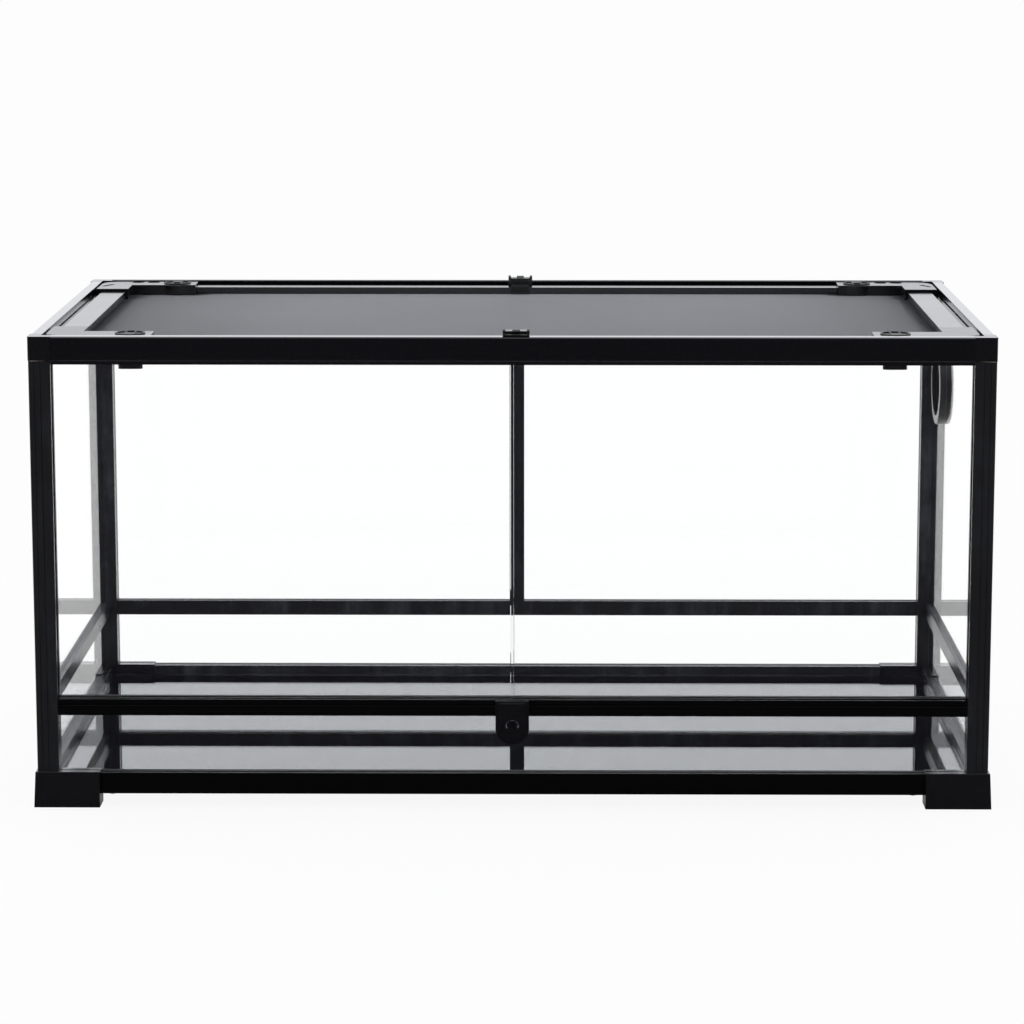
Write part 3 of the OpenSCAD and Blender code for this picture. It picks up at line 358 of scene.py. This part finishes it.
def dress_all():
    """Every part's finish."""
    dress(RAILS_ALONG_X, extruded_black("rail_x", "x"))
    dress(RAILS_ALONG_Y, extruded_black("rail_y", "y"))
    dress(POSTS, extruded_black("post", "z", **HANDLED))
    dress(INNER_ALONG_X, extruded_black("inner_rail_x", "x", **BEHIND_GLASS))
    dress(INNER_ALONG_Y, extruded_black("inner_rail_y", "y", **BEHIND_GLASS))
    dress(INNER_POSTS, extruded_black("inner_post", "z", **BEHIND_GLASS))
    dress(TRACKS_ALONG_X, extruded_black("track_rail_x", "x", **DULL))
    dress(["top_rail_rear"], extruded_black("rear_rail", "x", **DULL))
    dish = (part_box("lid_bar_rear")[0].y, DISH_SLOPE, DISH_BEND)
    dress(LID_ALONG_X, extruded_black("lid_bar", "x", dish=dish))
    dress(LID_ALONG_Y, extruded_black("lid_end", "y", coat=0.5))
    dress(["floor_board"], dull_black("floor_board"))
    dress(FIXED_PANES, sheet_glass("pane_glass", PANE_TINT))
    dress(["floor_glass"], sheet_glass("floor_glass", FLOOR_TINT, FLOOR_SHEEN))
    dress(DOORS, sheet_glass("door_glass", PANE_TINT))
    dress(CORNERS, moulded_black("corner_plastic", shade=0.0045, coat=0.7))
    dress(LID_MOULDINGS, moulded_black("lid_plastic"))
    dress(LID_KNOBS, moulded_black("knob_plastic", rough=0.42, coat=0.0))
    dress(["post_connectors"], moulded_black("inner_plastic", rough=0.4))
    dress(PORT, moulded_black("port_plastic", shade=0.02, rough=0.3))
    dress(["lid_cable_plugs"], soft_rubber("plug_rubber"))
    dress(["lock_housing"], moulded_black("lock_black"))
    dress(["lock_cylinder"], worked_metal("lock_metal", LOCK_GREY, 0.14))
    dress(["foot_screws"], worked_metal("screw_steel", SCREW_GREY, 0.3))


def new_piece(name, points, faces, material):
    """Adds a piece to the scene, at the origin and with its place in its mesh."""
    mesh = bpy.data.meshes.new(name)
    mesh.from_pydata(points, [], faces)
    mesh.materials.append(material)
    piece = bpy.data.objects.new(name, mesh)
    bpy.context.scene.collection.objects.link(piece)
    return piece


# Wire screen ----------------------------------------------------------------------

WIRE_PITCH = 0.0014
WIRE_R = 0.00015
WIRE_SIDES = 6


def straight_wires(across, along, low, high, height):
    """A layer of parallel round wires, as one grid of (wire, end, angle).

    Every wire is a straight cylinder: at angle t its surface lies at
    across = place + R cos t and height = centre + R sin t, from low to high along its
    run. across is the array of places and along is the axis number of the run.
    """
    t = np.arange(WIRE_SIDES) * (2 * np.pi / WIRE_SIDES)
    points = np.zeros((len(across), 2, WIRE_SIDES, 3))
    points[..., along] = np.array([low, high])[None, :, None]
    points[..., 1 - along] = across[:, None, None] + WIRE_R * np.cos(t)
    points[..., 2] = height + WIRE_R * np.sin(t)
    ring = np.arange(WIRE_SIDES)
    after = (ring + 1) % WIRE_SIDES
    one = np.stack([ring, after, after + WIRE_SIDES, ring + WIRE_SIDES], axis=1)
    step = 2 * WIRE_SIDES
    first = np.arange(len(across))[:, None, None] * step
    sides = (one[None] + first).reshape(-1, 4)
    caps = np.stack([ring[::-1], ring + WIRE_SIDES])
    caps = (caps[None] + first).reshape(-1, WIRE_SIDES)
    if along == 1:
        sides, caps = sides[:, ::-1], caps[:, ::-1]
    return points.reshape(-1, 3), sides, caps


def wire_screen():
    """Two crossing layers of wire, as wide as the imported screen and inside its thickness."""
    low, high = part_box("lid_screen")
    middle = (low.z + high.z) / 2
    places = [
        np.arange(low[i] + WIRE_PITCH / 2, high[i], WIRE_PITCH) for i in range(2)
    ]
    along_x = straight_wires(places[1], 0, low.x, high.x, middle + WIRE_R)
    along_y = straight_wires(places[0], 1, low.y, high.y, middle - WIRE_R)
    count = len(along_x[0])
    points = np.concatenate([along_x[0], along_y[0]])
    faces = [
        *along_x[1].tolist(),
        *along_x[2].tolist(),
        *(along_y[1] + count).tolist(),
        *(along_y[2] + count).tolist(),
    ]
    screen = new_piece("wire_screen", points.tolist(), faces, coated_wire("screen_wire"))
    screen.data.polygons.foreach_set("use_smooth", [len(face) == 4 for face in faces])
    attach(screen, "lid")
    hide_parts("lid_screen")


# Seams under the corner blocks ----------------------------------------------------

SEAM_PROUD = 0.0001
SEAM_TALL = 0.0009
SEAM_LONG = 0.022
SEAM_IN = 0.0022


def bare_edge(name):
    """The bare sawn edge of a painted post: a tan, scratched metal."""
    material, s = new_shader(name)
    marks = s.noise(s.object_place((900, 900, 300)), 1.0, 3.0)
    colour = s.blend(marks, (0.2, 0.17, 0.12, 1), (0.5, 0.44, 0.34, 1))
    surface = s.add("BsdfPrincipled", {"Base Color": colour, "Roughness": 0.5})
    s.end(surface.outputs[0])
    return material


def corner_seams():
    """A thin line of bare edge on each front post, right under the corner block.

    Each is a flat wedge just proud of the post's front face: its height falls evenly
    from SEAM_TALL near the post's outer side to 0 at SEAM_LONG further in. Corners 0 to
    2 are its outline in front of the post's face, and 3 to 5 the same behind that face.
    The right wedge is a mirror image of the left one, so its faces run the other way.
    """
    outline = np.array([(0, 0), (0, -SEAM_TALL), (SEAM_LONG, 0)])
    wedge = [(0, 1, 2), (5, 4, 3), (0, 3, 4, 1), (1, 4, 5, 2), (2, 5, 3, 0)]
    points, faces = [], []
    for post, side in (("post_front_left", -1), ("post_front_right", 1)):
        low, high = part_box(post)
        start = (low.x if side < 0 else high.x) - side * SEAM_IN
        corners = np.zeros((2, 3, 3))
        corners[..., 0] = start - side * outline[:, 0]
        corners[..., 1] = low.y + np.array([[-SEAM_PROUD], [SEAM_PROUD]])
        corners[..., 2] = high.z + outline[:, 1]
        first = len(points)
        points += corners.reshape(-1, 3).tolist()
        faces += [[first + k for k in face[::-side]] for face in wedge]
    seams = new_piece("corner_seams", points, faces, bare_edge("bare_edge"))
    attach(seams, "frame")


# Floor, light and background ------------------------------------------------------

BACKGROUND = 0.982
THROUGH_GLASS = 1.16

FLOOR_HALF = 5.0
FLOOR_MATT = (0.9, 0.9, 0.9, 1)
SHADOW_KEPT = 0.07
SHADOW_FADES = (0.6, 1.6)
MIRRORED_FADES = (0.45, 0.9)
CLOTH = (0.045, 0.044, 0.058, 1)
CLOTH_FROM_Y = -0.31
CLOTH_EDGE = 0.05

SOFTBOX = 1.08
SOFTBOX_TINT = (0.95, 0.965, 1.0, 1)
SOFTBOX_FROM = (0.3, 0.8)
LIT_FROM = (-0.35, 0.1)
UP_COUNTS = 1.2

LAMP_SIZE = (9.0, 2.0)
LAMP_WATTS = 62
LAMP_AT = (0, 0.4, 3.0)


def ray_kind(s, kind):
    """1 for rays of this kind, else 0."""
    return s.add("LightPath").outputs[f"Is {kind} Ray"]


def mirrored(s):
    """1 for what is seen in a reflection, also through glass, else 0."""
    return s.maths("MINIMUM", s.add("LightPath").outputs["Glossy Depth"], 1.0)


def seen_directly(s):
    """1 for what the camera sees by itself or through glass, else 0."""
    seen = s.maths("MAXIMUM", ray_kind(s, "Camera"), ray_kind(s, "Transmission"))
    return s.maths("MULTIPLY", seen, s.maths("SUBTRACT", 1.0, mirrored(s)))


def pure_white(s):
    """The background's level, a little higher where panes dim it again."""
    return s.ramp(ray_kind(s, "Transmission"), 0.0, 1.0, BACKGROUND, THROUGH_GLASS)


def make_floor():
    """A pale floor that keeps the tank's shadow and fades into the white background.

    In mirrored light it is a dark cloth in front of the tank, as in the studio, so that
    the black front stays black.
    """
    material, s = new_shader("floor")
    place = s.object_place()
    split = s.add("SeparateXYZ", {0: place}).outputs
    away = s.add("VectorMath", {0: place}, operation="LENGTH").outputs["Value"]
    white = s.add("Emission", {"Strength": pure_white(s)}).outputs[0]
    matt = s.add("BsdfDiffuse", {"Color": FLOOR_MATT}).outputs[0]
    seen = s.mix(s.ramp(away, *SHADOW_FADES, SHADOW_KEPT, 0.0), white, matt)
    pale = s.mix(seen_directly(s), matt, seen)
    around = s.maths("MULTIPLY", mirrored(s), s.ramp(away, *MIRRORED_FADES))
    pale = s.mix(around, pale, white)
    cloth = s.add("Emission", {"Color": CLOTH}).outputs[0]
    front = s.ramp(split["Y"], CLOTH_FROM_Y, CLOTH_FROM_Y + CLOTH_EDGE, 1.0, 0.0)
    s.end(s.mix(s.maths("MULTIPLY", mirrored(s), front), pale, cloth))
    h = FLOOR_HALF
    corners = [(-h, -h, 0), (h, -h, 0), (h, h, 0), (-h, h, 0)]
    new_piece("floor", corners, [(0, 1, 2, 3)], material)


def make_world():
    """White all round for the camera, and lit from above and behind for all else.

    Light counts as lit by its direction's Y plus UP_COUNTS times its height, so that
    the low front is dark and black fronts stay black. Behind, mirrors see the softbox.
    """
    world = bpy.data.worlds.new("studio")
    bpy.context.scene.world = world
    s = Shader(world)
    toward = s.add("TexCoord").outputs["Generated"]
    split = s.add("SeparateXYZ", {0: toward}).outputs
    up = s.maths("MAXIMUM", split["Z"], 0.0)
    level = s.maths("ADD", split["Y"], s.maths("MULTIPLY", up, UP_COUNTS))
    lit = s.ramp(level, *LIT_FROM)
    behind = s.ramp(split["Y"], *SOFTBOX_FROM, 1.0, SOFTBOX)
    behind = s.maths("MULTIPLY", behind, pure_white(s))
    gloss = s.ramp(mirrored(s), 0.0, 1.0, 1.0, behind)
    bright = s.add("Background", {"Color": SOFTBOX_TINT, "Strength": gloss}).outputs[0]
    dark = s.add("Background", {"Color": CLOTH}).outputs[0]
    white = s.add("Background", {"Color": WHITE, "Strength": pure_white(s)}).outputs[0]
    s.end(s.mix(seen_directly(s), s.mix(lit, dark, bright), white), "OutputWorld")


def make_lamp():
    """One large soft lamp above the tank."""
    data = bpy.data.lights.new("top_light", "AREA")
    data.shape = "RECTANGLE"
    data.size, data.size_y = LAMP_SIZE
    data.energy = LAMP_WATTS
    lamp = bpy.data.objects.new("top_light", data)
    lamp.location = LAMP_AT
    bpy.context.scene.collection.objects.link(lamp)


make_camera()
make_world()
make_lamp()
make_floor()
dress_all()
wire_screen()
corner_seams()
bpy.context.scene.view_settings.view_transform = "Standard"
